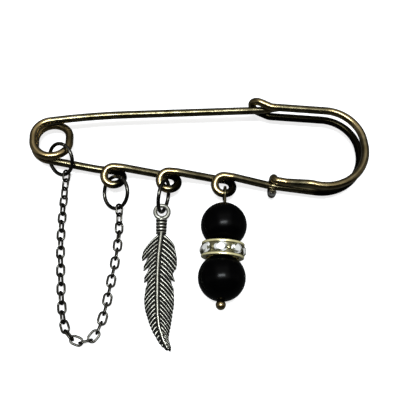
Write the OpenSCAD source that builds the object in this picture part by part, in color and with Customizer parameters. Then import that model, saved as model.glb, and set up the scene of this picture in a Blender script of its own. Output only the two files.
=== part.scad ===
// Safety pin brooch with a chain swag, a feather and a bead drop, lying on a table.
// The pin is one spring wire: a coil at the left, three curled loops in the rail and a
// doubled hairpin clasp at the right. Lengths are in millimetres, angles in degrees.
// While the pieces are laid out, x runs along the needle and x = y = 0 is the coil's centre.

/* [Wire] */
// Diameter of the spring wire
wire_d = 1.8; // [1.5:0.1:2.0]
// Clearance between turns or strands that cross
layer_gap = 0.2; // [0.15:0.05:0.3]
// Clearance between the rail and the wire end wrapped round it
wrap_gap = 0.1; // [0.1:0.05:0.2]

/* [Coil] */
// Bend radius of the coil's left side
coil_r = 4.1; // [3.8:0.1:4.6]
// Straight stretch on the coil's left side
coil_run = 1.2; // [0.8:0.1:1.6]
// Bend radius of the coil's right side
coil_side_r = 3.9; // [3.6:0.1:4.4]
// Saw cut between the coil's fixed turn and the needle's turn
split_gap = 0.1; // [0.05:0.05:0.2]

/* [Needle] */
// Distance from the coil's centre to the needle's tip
needle_reach = 56; // [53:0.5:58]
// Slope at which the needle leaves the coil
needle_lift = 6.5; // [5:0.5:8]
// Radius of the bend that levels the needle out
needle_bend_r = 160; // [140:5:180]
// Length of the ground point
point_length = 6; // [4:0.5:8]
// Length of the gentle taper before the point
taper_length = 4.2; // [3.6:0.2:6]
// Diameter where the taper meets the point
taper_d = 1.7; // [1.5:0.05:1.75]
// Diameter of the blunt tip
tip_d = 0.3; // [0.2:0.05:0.5]

/* [Rail] */
// Distance from the coil's centre to the first loop, along the needle
first_loop_x = 13.9; // [13:0.1:15]
// Distance from the coil's centre down to the first loop
first_loop_y = 10.1; // [9.6:0.1:10.8]
// Centreline radius of the three loops
loop_r = 2.0; // [1.9:0.05:2.2]
// Distance from loop to loop
loop_pitch = 12.5; // [11.8:0.1:13]
// Slope of the rail between the loops
rail_slope = 8; // [6:0.5:10]
// Place of the bend between the coil and the first loop
rail_bend_x = 10.5; // [10:0.1:11]
// Radius of that bend
rail_bend_r = 20; // [15:1:25]
// Level stretch on either side of a loop
loop_land = 1.4; // [1.2:0.1:1.8]
// Radius of the bends where the wire slopes from one layer to another
ramp_bend_r = 3; // [2:0.5:4]

/* [Clasp] */
// Distance from the coil's centre to the wire's centreline at the right end
clasp_reach = 72.1; // [70:0.1:75]
// Slope of the rail after the last loop
clasp_slope = 11; // [9:0.5:13]
// Slope of the clasp's upper strands
strand_slope = 7; // [5:0.5:9]
// Radius of the lower right corner
low_corner_r = 10.3; // [9.5:0.1:10.5]
// Radius of the upper right corner
top_corner_r = 8.6; // [8:0.1:8.8]
// Place of the hook's bend along the needle
hook_x = 49.2; // [48:0.1:50]
// Slope of the strands beside the hook
hook_slope = 30; // [25:1:35]
// Straight stretch beside the hook's bend
hook_run = 2.2; // [1.8:0.1:3]
// Radius of the kink behind the hook
kink_r = 3; // [2.5:0.1:4]
// Clearance between the needle and the hook
hook_gap = 0.1; // [0.05:0.05:0.3]
// How much lower the front strand's bow reaches than the back strand's
strand_drop = 0.4; // [0.3:0.1:0.6]
// Angle at which the front strand draws in over the rail
strand_spread = 5.5; // [5:0.25:6]
// Straight length in which it draws in
spread_run = 7; // [6.8:0.1:7.4]
// Length in which the front strand comes down to the rail
wrap_dip_length = 6.4; // [5.6:0.2:6.6]
// Bend radius of the front strand as it turns across the rail
wrap_turn_r = 1.1; // [1.05:0.05:1.4]
// How far from straight above the rail the end goes round it
wrap_angle = 298; // [280:2:300]

/* [Jump rings] */
// Outer diameter of the jump rings
ring_d = 8; // [7.8:0.1:8.4]
// Diameter of their wire
ring_wire_d = 0.85; // [0.7:0.05:0.9]

/* [Chain] */
// Length of a link over all
link_length = 3.1; // [3:0.05:3.4]
// Width of a link over all
link_width = 2.1; // [2:0.05:2.3]
// Diameter of the link wire
link_wire_d = 0.4; // [0.34:0.02:0.42]
// Clearance between neighbouring links
link_gap = 0.16; // [0.14:0.02:0.2]

/* [Feather] */
// Length from the eye's centre to the tip
feather_length = 30.4; // [28:0.1:33]
// Width across the vane
feather_width = 8; // [7:0.1:9]
// Thickness of the vane between the barbs
vane_thickness = 0.7; // [0.6:0.05:0.9]
// Height of the barbs above the vane
barb_height = 0.3; // [0.2:0.05:0.4]
// Slope of the barbs from the quill
barb_angle = 40; // [35:1:48]
// Width of the quill where it meets the neck
quill_width = 0.9; // [0.7:0.05:1.1]
// Height of the quill above the vane
quill_height = 0.55; // [0.4:0.05:0.7]
// Outer diameter of the eye
eye_d = 3.8; // [3.6:0.1:4.2]
// Diameter of the eye's hole
eye_hole_d = 2.0; // [1.8:0.1:2.2]
// Length of the ribbed neck
neck_length = 3.4; // [3:0.1:4]
// Width of the ribbed neck
neck_width = 2.4; // [2:0.1:2.6]
// Number of ribs on the neck
neck_ribs = 4; // [3:1:5]

/* [Bead drop] */
// Diameter of the two beads
bead_d = 10; // [9.8:0.1:10.4]
// Diameter of the hole through a bead
bead_hole_d = 1.4; // [0.9:0.05:1.5]
// Diameter of the head pin's wire
head_pin_d = 0.7; // [0.6:0.05:0.8]
// Centreline radius of the head pin's eye
pin_eye_r = 1.4; // [1.35:0.05:1.5]
// Radius of the bend below that eye
pin_neck_r = 1.0; // [0.8:0.1:1.2]
// Distance from the last loop's wire to the upper bead's centre
drop_start = 8.2; // [7.8:0.1:9]
// Lean of the drop from square to the needle
drop_lean = 7.5; // [5:0.5:8]
// Diameter of the ball that ends the head pin
ball_d = 2.1; // [1.8:0.1:2.4]
// Clearance between the pieces strung on the head pin
string_gap = 0.05; // [0.05:0.05:0.15]

/* [Rondelle] */
// Outer diameter of the rondelle
rondelle_d = 9.2; // [9:0.1:9.4]
// Width of the rondelle over its rims
rondelle_w = 3.2; // [3:0.1:3.4]
// Thickness of a rim
rim_w = 0.45; // [0.35:0.05:0.5]
// Diameter of the opening in a rim that seats a bead
seat_d = 7; // [6.6:0.1:7.1]
// Lean of the rondelle from square to the head pin
rondelle_lean = 8; // [6:0.5:9]
// Turn of the rondelle about its axis, 0 has a stone at the top
rondelle_turn = 10.5; // [0:0.5:45]
// Number of stones round the rondelle
stone_count = 8; // [7:1:8]
// Size of a stone between the rims, measured over its corners
stone_d = 2.2; // [2:0.05:2.25]
// Size of a stone round the rondelle, measured over its corners
stone_length = 2.9; // [2.4:0.1:3]
// Size of a stone's table between the rims
table_d = 1.3; // [1:0.1:1.4]
// Height of a stone above its girdle
crown_h = 0.35; // [0.25:0.05:0.45]
// Depth of a stone below its girdle
pavilion_h = 0.7; // [0.6:0.05:0.75]
// Clearance between a stone and its setting
stone_gap = 0.06; // [0.05:0.01:0.08]

/* [Hidden] */
$fn = 48;

wire_r = wire_d / 2;
// height from one layer of wire to the next one
layer_step = wire_d + layer_gap;
// the knuckles that fuse two stretches of wire are this much wider than the wire
knuckle_share = 1.01;
// faceted wire has this many sides, and keeps a round wire's volume
wire_sides = 12;
link_sides = 6;
function faceted_r(radius, sides) = radius * sqrt(2 * PI / (sides * sin(360 / sides)));
// its arcs stay this close to the true arcs
chord_error = 0.025;

function along(angle) = [cos(angle), sin(angle)];
function across(angle) = [-sin(angle), cos(angle)];
function xyz(point, z) = [point.x, point.y, z];

// the wrapped end passes under the rail and touches the table
wrap_r = wire_d + wrap_gap;
rail_z = wire_r + wrap_r;
front_z = rail_z + layer_step;

// half the coil's height
coil_half = coil_r + coil_run / 2;

// places of the loops, and of the wire's centreline above each one
loop_1 = [first_loop_x, -first_loop_y];
loop_2 = loop_1 + loop_pitch * along(-rail_slope);
loop_3 = loop_1 + 2 * loop_pitch * along(-rail_slope);
loop_1_top = loop_1 + loop_r * across(-rail_slope);
rail_dip_length = loop_pitch - 2 * loop_land;

// the rail leaves the coil on a tangent and bends to its slope at rail_bend
rail_bend = [rail_bend_x, loop_1_top.y + (loop_1_top.x - rail_bend_x) * tan(rail_slope)];
coil_low = [0, -coil_run / 2];
coil_to_bend = rail_bend - coil_low;
exit_slope = atan2(coil_to_bend.y, coil_to_bend.x) + asin(coil_r / norm(coil_to_bend));
bend_angle = -rail_slope - exit_slope;
bend_trim = rail_bend_r * tan(bend_angle / 2);
exit_run = sqrt(norm(coil_to_bend) ^ 2 - coil_r ^ 2) - bend_trim;
bend_run = norm(loop_1_top - rail_bend) - bend_trim;

// the needle leaves the coil's top and levels out at this height
needle_y = coil_run / 2 + coil_r * cos(needle_lift) + needle_bend_r * (1 - cos(needle_lift));
shank_start = -coil_r * sin(needle_lift) + needle_bend_r * sin(needle_lift);
shank_length = needle_reach - point_length - taper_length - shank_start;

// the hook stands just outside the needle
hook = [hook_x, needle_y + wire_d + hook_gap - layer_step * sin(hook_slope)];
kink_angle = hook_slope - strand_slope;
kink_end = hook + hook_run * along(-hook_slope)
    + kink_r * (across(-hook_slope) - across(-strand_slope));

// the clasp's bow is tangent to the rail, to the line x = clasp_reach and to the strands
rail_exit = loop_3 + loop_r * across(-clasp_slope);
low_corner = [clasp_reach, rail_exit.y - (clasp_reach - rail_exit.x) * tan(clasp_slope)];
top_corner = [clasp_reach, kink_end.y - (clasp_reach - kink_end.x) * tan(strand_slope)];
low_trim = low_corner_r * tan((90 + clasp_slope) / 2);
top_trim = top_corner_r * tan((90 - strand_slope) / 2);
rail_run = norm(low_corner - rail_exit) - low_trim - loop_land - rail_dip_length;
side_run = top_corner.y - low_corner.y - low_trim - top_trim;
strand_run = norm(top_corner - kink_end) - top_trim;
// the front strand comes in over the rail, this far beside it and this high above it, and
// turns onto the circle of its wrap
strand_offset = spread_run * sin(strand_spread) + 2 * low_corner_r * (1 - cos(strand_spread))
    - strand_drop * cos(clasp_slope);
strand_angle = asin(strand_offset / norm([wrap_r, wrap_turn_r]));
strand_height = norm([wrap_r, wrap_turn_r]) * cos(strand_angle);
wrap_start = strand_angle + atan(wrap_turn_r / wrap_r);

// a jump ring is hung by the point of its circle at ring_angle, tipped by pitch and roll,
// and its lowest point rests on the table
ring_wire_r = ring_wire_d / 2;
ring_r = ring_d / 2 - ring_wire_r;
function tipped(p, pitch, roll) = [
    cos(roll) * p.x + sin(roll) * (sin(pitch) * p.y),
    cos(pitch) * p.y,
    -sin(roll) * p.x + cos(roll) * (sin(pitch) * p.y)];
function ring_point(pose, angle) =
    ring_centre(pose) + tipped([ring_r * cos(angle), ring_r * sin(angle)], pose[2], pose[3]);
function ring_rest_z(pitch, roll) =
    ring_wire_r + ring_r * sqrt(1 - (cos(roll) * cos(pitch)) ^ 2);
function ring_centre(pose) = let (
    reach = tipped([ring_r * cos(pose[1]), ring_r * sin(pose[1])], pose[2], pose[3]))
    [pose[0].x - reach.x, pose[0].y - reach.y, ring_rest_z(pose[2], pose[3])];

// columns: place of the hanging point, ring_angle, pitch, roll
coil_ring = [[0.77, -coil_half + 3.12], 90, 28.5, -43.8];
loop_ring = [loop_1 + [-0.29, -0.13], 90, 16, -42.2];
feather_ring = [loop_2 + [-0.32, -0.31], 90, 17.3, 77.5];

// the chain's route, chosen by hand between the two rings that hold it
swag = [[2.6, -12.5], [2.3, -17], [2.1, -22], [2.1, -27], [2.3, -32], [2.5, -36],
    [2.7, -39], [3, -41.5], [3.6, -43.6], [4.7, -45.2], [6.2, -46.1], [7.8, -46.2],
    [9.2, -45.4], [10.2, -43.9], [11, -41.8], [11.8, -38.8], [12.8, -34], [13.7, -29.8],
    [14.4, -25.6], [14.8, -21.5]];
// height of the links' centres above the table
chain_z = 1.1;
// an end link's centre stands this far from the middle of its jump ring's wire
end_link_reach = link_length / 2 - link_wire_d - ring_wire_r - link_gap;
function toward(from, to) = (to - from) / norm(to - from);
chain_start = let (foot = ring_point(coil_ring, 270))
    foot + end_link_reach * toward(foot, xyz(swag[0], chain_z));
chain_end = let (foot = ring_point(loop_ring, 270))
    foot + end_link_reach * toward(foot, xyz(swag[len(swag) - 1], chain_z));
chain_route = concat([chain_start], [for (place = swag) xyz(place, chain_z)], [chain_end]);

// the links share the route evenly, no farther apart than the gap between them allows
function lengths(route, i = 0, sum = 0) = i == len(route) - 1 ? [[sum, i]]
    : concat([[sum, i]], lengths(route, i + 1, sum + norm(route[i + 1] - route[i])));
chain_lengths = lengths(chain_route);
chain_length = chain_lengths[len(chain_lengths) - 1][0];
closest_pitch = link_length - 2 * link_wire_d - link_gap;
link_steps = 2 * ceil(chain_length / closest_pitch / 2 - 0.5) + 1;
function on_route(share) = let (
    at = lookup(share * chain_length, chain_lengths),
    i = min(floor(at), len(chain_route) - 2))
    chain_route[i] + (at - i) * (chain_route[i + 1] - chain_route[i]);

// the links lie a little turned, and the ones beside a ring stand square to its wire
lying_roll = 15;
end_roll = 45;
end_links = 4;
function link_roll(i) = let (beside = min(i, link_steps - i))
    90 * ((i + 1) % 2) + lying_roll + (end_roll - lying_roll) * max(0, 1 - beside / end_links);

// the feather's eye hangs on the narrow ring, and its tip rests on the table
feather_place = [loop_2.x - 1.88, loop_2.y - 6.66];
eye_z = 1.85;
feather_tilt = asin((eye_z - vane_thickness / 2) / feather_length);
// columns: distance from the eye down the feather, as a share of feather_length;
// offset of the quill, as a share of feather_width
quill_line = [[0.16, -0.05], [0.24, -0.10], [0.34, -0.16], [0.48, -0.21], [0.62, -0.24],
    [0.75, -0.25], [0.83, -0.23], [0.92, -0.14], [0.97, -0.06], [1.00, 0.00]];
// one row for each pair of barbs, columns: length of the left barb and of the right barb, as
// shares of feather_width; a short row after a long one is a notch in the vane
barbs = [
    [0.80, 0.56], [0.83, 0.63], [0.79, 0.68], [0.54, 0.70], [0.68, 0.69], [0.66, 0.62],
    [0.42, 0.58], [0.60, 0.66], [0.60, 0.53], [0.45, 0.63], [0.52, 0.65], [0.55, 0.65],
    [0.57, 0.65], [0.56, 0.63], [0.54, 0.60], [0.51, 0.58], [0.47, 0.55], [0.43, 0.52],
    [0.39, 0.49], [0.35, 0.45], [0.31, 0.41], [0.27, 0.37], [0.23, 0.36], [0.20, 0.36],
    [0.17, 0.31], [0.13, 0.22], [0.08, 0.11]];
// how far the neck sinks into the vane, and the vane starts short of the eye and the neck
neck_sink = 0.3;
vane_overlap = 0.5;
// where the vane starts and ends, as shares of feather_length
vane_start = (eye_d / 2 + neck_length - vane_overlap) / feather_length;
vane_end = 0.99;

// the head pin's eye encloses the lowest wire of the last loop
bead_r = bead_d / 2;
pin_r = head_pin_d / 2;
pin_eye = [loop_3.x, loop_3.y - loop_r, rail_z + layer_step / 2];
pin_bend = acos((bead_r + pin_neck_r - pin_eye.z) / (pin_neck_r + pin_eye_r));
pin_eye_sweep = 326;
// distances along the drop from the eye's centre
stem_start = (pin_neck_r + pin_eye_r) * sin(pin_bend);
// the leaning rondelle's openings touch the beads but for the gap, each at one edge
seat_edge = [rondelle_w / 2 * cos(rondelle_lean) + seat_d / 2 * sin(rondelle_lean),
    seat_d / 2 * cos(rondelle_lean) - rondelle_w / 2 * sin(rondelle_lean)];
rondelle_place = drop_start + seat_edge.x + sqrt(bead_r ^ 2 - seat_edge.y ^ 2) + string_gap;
lower_bead_place = 2 * rondelle_place - drop_start;
bore_land = sqrt(bead_r ^ 2 - (bead_hole_d / 2) ^ 2);
ball_place = lower_bead_place + bore_land + string_gap
    + sqrt((ball_d / 2) ^ 2 - (bead_hole_d / 2) ^ 2);

// the stones stand in a channel between the rims
rondelle_r = rondelle_d / 2;
channel_w = rondelle_w - 2 * rim_w;
girdle_r = rondelle_r - 0.05;
girdle_h = 0.1;
channel_floor_r = girdle_r - pavilion_h - stone_gap;
post_r = 0.28;

// the centre of the assembly's outline on the table becomes the origin
low_x = -coil_r - wire_r;
high_x = clasp_reach + wire_r;
high_y = hook.y + layer_step * sin(hook_slope) + wire_r;
low_y = feather_place.y - feather_length * cos(feather_tilt);
middle = [(low_x + high_x) / 2, (low_y + high_y) / 2, 0];

// A wire's path is a list of stretches, with these columns: length of a straight stretch,
// or 0 for an arc; bend radius; angle, to the left if positive; tilt of the arc's plane about
// the wire; roll of what follows about the wire.
function run(length) = [[length, 0, 0, 0, 0]];
function turn(bend_r, angle) = [[0, bend_r, angle, 0, 0]];
// half circle that climbs to another layer and ends level
function half_turn(side, bend_r, climb) = let (tilt = side * atan(climb / (2 * bend_r)))
    [[0, norm([bend_r, climb / 2]), side * 180, tilt, tilt]];
// half circle that doubles the wire back over itself
function fold_over(bend_r) = [[0, bend_r, 180, 90, 90]];
// half turn with a straight stretch between two bends, it climbs to another layer
function wide_turn(bend_r, width, climb) = let (tilt = atan(climb / width))
    [[0, bend_r, 90, tilt, 0], [norm([width, climb]) - 2 * bend_r, 0, 0, 0, 0],
        [0, bend_r, 90, 0, tilt]];
// straight ramp between two upright bends, it lowers the wire and ends level
function dip(length, drop) = let (
    rise = 2 * ramp_bend_r - drop,
    slope = asin(2 * ramp_bend_r / norm([length, rise])) - atan(rise / length))
    [[0, ramp_bend_r, -slope, 90, 0],
        [sqrt(length ^ 2 + rise ^ 2 - 4 * ramp_bend_r ^ 2), 0, 0, 0, 0],
        [0, ramp_bend_r, slope, 0, -90]];

function turned(angle) = [
    [cos(angle), -sin(angle), 0, 0], [sin(angle), cos(angle), 0, 0], [0, 0, 1, 0], [0, 0, 0, 1]];
function rolled(angle) = [
    [1, 0, 0, 0], [0, cos(angle), -sin(angle), 0], [0, sin(angle), cos(angle), 0], [0, 0, 0, 1]];
function moved(v) = [[1, 0, 0, v.x], [0, 1, 0, v.y], [0, 0, 1, v.z], [0, 0, 0, 1]];
// placement of a point part of the way along a stretch
function part_of(row, share) = let (bend = [0, sign(row[2]) * row[1], 0])
    moved([share * row[0], 0, 0]) * rolled(row[3]) * moved(bend) * turned(share * row[2])
        * moved(-bend);
// placement of each stretch of a path, and of its end
function places(path, start, i = 0) = i == len(path) ? [start]
    : concat([start], places(path, start * part_of(path[i], 1) * rolled(path[i][4]), i + 1));
// how far the wire's sides turn back at each stretch, so that they run on without a twist
function untwists(path, i = 0, sum = 0) = i == len(path) ? []
    : concat([sum - path[i][3]], untwists(path, i + 1, sum - path[i][3] - path[i][4]));
function pieces_of(row) = row[0] > 0 ? 1
    : ceil(abs(row[2]) / (2 * acos(1 - chord_error / row[1])));
// placements of the faceted wire's rings
function ring_places(path, start) = let (at = places(path, start), untwist = untwists(path))
    [for (i = [0:len(path) - 1]) let (n = pieces_of(path[i]), last = i == len(path) - 1)
        for (k = [0:last ? n : n - 1]) at[i] * part_of(path[i], k / n) * rolled(untwist[i])];

// faceted wire through a list of ring placements
module swept(rings, radius, sides, closed = false) {
    points = [for (place = rings, k = [1:sides])
        let (p = place * [0, radius * cos(360 * k / sides), radius * sin(360 * k / sides), 1])
        [p.x, p.y, p.z]];
    walls = [for (i = [0:len(rings) - (closed ? 1 : 2)], k = [0:sides - 1]) let (
        this = i * sides,
        next = ((i + 1) % len(rings)) * sides,
        beside = (k + 1) % sides)
        each [[this + k, next + k, next + beside], [this + k, next + beside, this + beside]]];
    first = [for (k = [0:sides - 1]) k];
    last = [for (k = [1:sides]) len(points) - k];
    polyhedron(points = points, faces = closed ? walls : concat(walls, [first, last]));
}

// one round stretch of wire from the origin along +x
module stretch(row, radius) {
    side = sign(row[2]);
    if (row[0] > 0)
        rotate([0, 90, 0])
            cylinder(r = radius, h = row[0]);
    else
        rotate([row[3], 0, 0])
            translate([0, side * row[1], 0])
                rotate([0, 0, side > 0 ? -90 : 90 + row[2]])
                    rotate_extrude(angle = abs(row[2]))
                        translate([row[1], 0])
                            circle(r = radius);
}

// round wire along a path, a knuckle fuses each stretch to the one before
module round_wire(path, radius, start) {
    at = places(path, start);
    for (i = [0:len(path) - 1])
        multmatrix(at[i]) {
            if (i > 0)
                sphere(r = radius * knuckle_share);
            stretch(path[i], radius);
        }
}

// loop that starts behind the rail and ends in front of it
loop = concat(half_turn(-1, loop_r, layer_step / 2), half_turn(-1, loop_r, layer_step / 2));
// the rail comes back down behind the next loop
loop_descent = concat(run(loop_land), dip(rail_dip_length, layer_step));

coil_back = concat(wide_turn(coil_side_r, 2 * coil_half, -layer_step), turn(coil_r, 90),
    run(coil_run), turn(coil_r, 90 + exit_slope));
rail = concat(run(exit_run), turn(rail_bend_r, bend_angle), run(bend_run),
    loop, loop_descent, run(loop_land),
    loop, loop_descent, run(loop_land),
    loop, turn(loop_r, rail_slope - clasp_slope), loop_descent, run(rail_run));
back_strand = concat(turn(low_corner_r, 90 + clasp_slope), run(side_run),
    turn(top_corner_r, 90 - strand_slope), run(strand_run),
    turn(kink_r, -kink_angle), run(hook_run));
front_strand = concat(run(hook_run), turn(kink_r, kink_angle),
    run(strand_run), turn(top_corner_r, strand_slope - 90),
    run(side_run + strand_drop), turn(low_corner_r, -strand_spread - clasp_slope - 90));
wrapped_end = concat(run(spread_run - wrap_dip_length),
    dip(wrap_dip_length, 2 * layer_step - strand_height), turn(low_corner_r, strand_spread),
    [[0, wrap_turn_r, -90, wrap_start, 0], [0, wrap_r, wrap_start - wrap_angle, 90, 0]]);
frame_path = concat(coil_back, rail, back_strand, fold_over(layer_step), front_strand, wrapped_end);

// the saw cut stands at the coil's foot, the needle's front turn starts beside it
cut_angle = split_gap / coil_r * 180 / PI;
needle_path = concat(turn(coil_r, cut_angle - 90), run(coil_run), turn(coil_r, needle_lift - 90),
    turn(needle_bend_r, -needle_lift), run(shank_length));
needle_start = moved([0, -coil_run / 2, front_z]) * turned(180 - cut_angle) * moved([0, coil_r, 0]);

// moves a piece from its place about the coil's centre to its place about the origin
module placed() {
    translate(-middle)
        children();
}

// coil, rail with three loops, doubled clasp and wrapped end
module frame_wire() {
    color("#4a3d24")
        placed()
            swept(ring_places(frame_path, moved([0, -coil_half, front_z])),
                faceted_r(wire_r, wire_sides), wire_sides);
}

// front turn of the coil, shank and point
module needle_arm() {
    color("#574829")
        placed() {
            round_wire(needle_path, wire_r, needle_start);
            translate([needle_reach - point_length, needle_y, front_z])
                rotate([0, 90, 0]) {
                    cylinder(d1 = taper_d, d2 = tip_d, h = point_length);
                    translate([0, 0, -taper_length])
                        cylinder(d1 = wire_d, d2 = taper_d, h = taper_length);
                }
        }
}

module jump_ring(pose) {
    color("#3c362a")
        placed()
            translate(ring_centre(pose))
                rotate([pose[2], pose[3], 0])
                    rotate_extrude()
                        translate([ring_r, 0])
                            circle(r = ring_wire_r);
}

// one link about the origin, long along x
module link() {
    end_r = (link_width - link_wire_d) / 2;
    half_run = (link_length - link_width) / 2;
    swept([for (side = [1, -1], angle = [-90:30:90])
        moved([side * half_run, 0, 0]) * turned(angle + (side > 0 ? 0 : 180))
            * moved([end_r, 0, 0]) * turned(90)],
        faceted_r(link_wire_d / 2, link_sides), link_sides, closed = true);
}

module chain() {
    color("#3c362a")
        placed()
            for (i = [0:link_steps]) {
                back = on_route(max(0, i - 0.5) / link_steps);
                ahead = on_route(min(link_steps, i + 0.5) / link_steps);
                along_link = ahead - back;
                at_end = i == 0 || i == link_steps;
                translate(at_end ? on_route(i / link_steps) : (back + ahead) / 2)
                    rotate([0, -asin(along_link.z / norm(along_link)),
                            atan2(along_link.y, along_link.x)])
                        rotate([link_roll(i), 0, 0])
                            link();
            }
}

// one row across the vane, at a station along the quill given as a share of feather_length:
// lengths of the left and right barb, and height of their ridge
function vane_row(station, lengths, ridge) = let (
    quill = [feather_width * lookup(station, quill_line), -feather_length * station],
    half_quill = quill_width / 2 * (1 - 0.7 * station),
    crest = [0.35 * half_quill, 0],
    top = vane_thickness / 2,
    left = feather_width * lengths[0] * [-sin(barb_angle), -cos(barb_angle)],
    right = feather_width * lengths[1] * [sin(barb_angle), -cos(barb_angle)],
    left_foot = min(0.4, half_quill / norm(left)),
    right_foot = min(0.4, half_quill / norm(right)))
    [xyz(quill + left, top + 0.4 * ridge), xyz(quill + 0.7 * left, top + ridge),
        xyz(quill + left_foot * left, top + ridge), xyz(quill - crest, top + quill_height),
        xyz(quill + crest, top + quill_height), xyz(quill + right_foot * right, top + ridge),
        xyz(quill + 0.7 * right, top + ridge), xyz(quill + right, top + 0.4 * ridge)];

// barbs are ridges with a groove between them, and the grooves end a little short
module vane() {
    groove_share = 0.03;
    count = len(barbs);
    pitch = (vane_end - vane_start) / count;
    function groove(i) = [for (side = [0, 1])
        max(0.02, min(barbs[max(0, i - 1)][side], barbs[min(count - 1, i)][side])
            - groove_share) * (i == 0 ? 0.5 : 1)];
    rows = [for (i = [0:2 * count]) let (station = vane_start + i / 2 * pitch)
        i % 2 == 0 ? vane_row(station, groove(i / 2), 0)
            : vane_row(station, barbs[(i - 1) / 2], barb_height)];
    columns = len(rows[0]);
    tops = [for (row = rows) each row];
    bottoms = [for (p = tops) [p.x, p.y, -vane_thickness / 2]];
    size = len(tops);
    grid = [for (i = [0:2 * count - 1], k = [0:columns - 2]) let (a = i * columns + k)
        each [[a, a + 1, a + columns], [a + 1, a + columns + 1, a + columns]]];
    under = [for (f = grid) [f[2] + size, f[1] + size, f[0] + size]];
    rim = concat([for (k = [0:columns - 2]) k],
        [for (i = [0:2 * count - 1]) i * columns + columns - 1],
        [for (k = [0:columns - 2]) size - 1 - k],
        [for (i = [0:2 * count - 1]) (2 * count - i) * columns]);
    wall = [for (k = [0:len(rim) - 1]) let (a = rim[k], b = rim[(k + 1) % len(rim)])
        each [[b, a, a + size], [b, a + size, b + size]]];
    polyhedron(points = concat(tops, bottoms), faces = concat(grid, under, wall));
}

// neck of revolution with ribs, from the origin along +z
module ribbed_neck(length) {
    rib = length / (neck_ribs + 0.5);
    narrow = 0.4 * neck_width;
    rotate_extrude()
        polygon(concat([[0, 0], [narrow, 0]],
            [for (i = [0:neck_ribs - 1]) each [[narrow, (i + 0.1) * rib],
                [neck_width / 2, (i + 0.35) * rib], [neck_width / 2, (i + 0.65) * rib],
                [narrow, (i + 0.9) * rib]]],
            [[narrow, length], [0, length]]));
}

module feather_charm() {
    eye_r = (eye_d + eye_hole_d) / 4;
    vane_top = [feather_width * lookup(vane_start, quill_line), -feather_length * vane_start];
    neck_bottom = vane_top * (1 + neck_sink / norm(vane_top));
    neck_top = neck_bottom * (1 - neck_length / norm(neck_bottom));
    color("#6b6455")
        placed()
            translate(xyz(feather_place, eye_z))
                rotate([feather_tilt, 0, 0]) {
                    rotate_extrude()
                        translate([eye_r, 0])
                            circle(r = (eye_d - eye_hole_d) / 4);
                    translate(xyz(neck_top, 0))
                        rotate([0, 0, atan2(neck_bottom.y, neck_bottom.x)])
                            rotate([0, 90, 0])
                                ribbed_neck(neck_length);
                    vane();
                }
}

// the drop's own frame: its origin is the centre of the head pin's eye at table height, and
// +x runs down the drop
module along_drop(distance) {
    placed()
        translate([pin_eye.x, pin_eye.y, 0])
            rotate([0, 0, -90 - drop_lean])
                translate([distance, 0, 0])
                    children();
}

// eye, stem and ball head of one wire
module head_pin() {
    color("#5d4a28")
        along_drop(stem_start) {
            start = moved([0, 0, bead_r]) * turned(180);
            round_wire([[0, pin_neck_r, pin_bend, 90, 0], [0, pin_eye_r, -pin_eye_sweep, 0, 0]],
                pin_r, start);
            translate([0, 0, bead_r]) {
                sphere(r = pin_r * knuckle_share);
                rotate([0, 90, 0])
                    cylinder(r = pin_r, h = ball_place - stem_start);
                translate([ball_place - stem_start, 0, 0])
                    sphere(d = ball_d);
            }
        }
}

module bead(place) {
    color("#17171a")
        along_drop(place)
            translate([0, 0, bead_r])
                rotate([0, 90, 0])
                    difference() {
                        sphere(d = bead_d);
                        cylinder(d = bead_hole_d, h = bead_d + 1, center = true);
                    }
}

// the rondelle's own frame: its axis is +z, and the first stone stands on +x
module along_rondelle() {
    along_drop(rondelle_place)
        translate([0, 0, bead_r])
            rotate([0, 90 + rondelle_lean, 0])
                rotate([0, 0, 180 + rondelle_turn])
                    children();
}

// two rims, a floor between them and a post between each pair of stones
module rondelle() {
    color("#b9a878")
        along_rondelle() {
            rotate_extrude()
                polygon([for (side = [-1, 1]) each [
                    [seat_d / 2, side * rondelle_w / 2], [rondelle_r, side * rondelle_w / 2],
                    [rondelle_r, side * channel_w / 2], [channel_floor_r, side * channel_w / 2]]],
                    [[1, 2, 3, 7, 6, 5, 4, 0]]);
            for (i = [0:stone_count - 1])
                rotate([0, 0, (i + 0.5) * 360 / stone_count])
                    translate([channel_floor_r - 0.2, 0, 0])
                        rotate([0, 90, 0])
                            cylinder(r = post_r, h = girdle_r - channel_floor_r + 0.2);
        }
}

// eight-sided stone with a table, a crown, a girdle and a pointed pavilion
module stone(number) {
    color("#eef1f4")
        along_rondelle()
            rotate([0, 0, (number - 1) * 360 / stone_count])
                translate([girdle_r, 0, 0])
                    rotate([0, 90, 0])
                        scale([1, stone_length / stone_d, 1])
                            rotate([0, 0, 22.5])
                                rotate_extrude($fn = 8)
                                    polygon([[0, -pavilion_h], [stone_d / 2, -girdle_h],
                                        [stone_d / 2, 0], [table_d / 2, crown_h], [0, crown_h]]);
}

frame_wire();
needle_arm();
jump_ring(coil_ring);  // coil_jump_ring
jump_ring(loop_ring);  // loop_jump_ring
jump_ring(feather_ring);  // feather_jump_ring
chain();
feather_charm();
head_pin();
bead(drop_start);  // upper_bead
bead(lower_bead_place);  // lower_bead
rondelle();
stone(1);  // stone_1
stone(2);  // stone_2
stone(3);  // stone_3
stone(4);  // stone_4
stone(5);  // stone_5
stone(6);  // stone_6
stone(7);  // stone_7
stone(8);  // stone_8
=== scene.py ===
"""Safety pin brooch with a chain swag, a feather charm and a bead drop, lying on a pale table.

The pin is one spring wire: a coil at the left, three curled loops in the rail and a doubled
hairpin clasp at the right. Shapes are worked out in millimetres about the coil's centre, with x
along the needle and z up from the table, and are stored in metres about the brooch's middle.
"""

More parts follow.
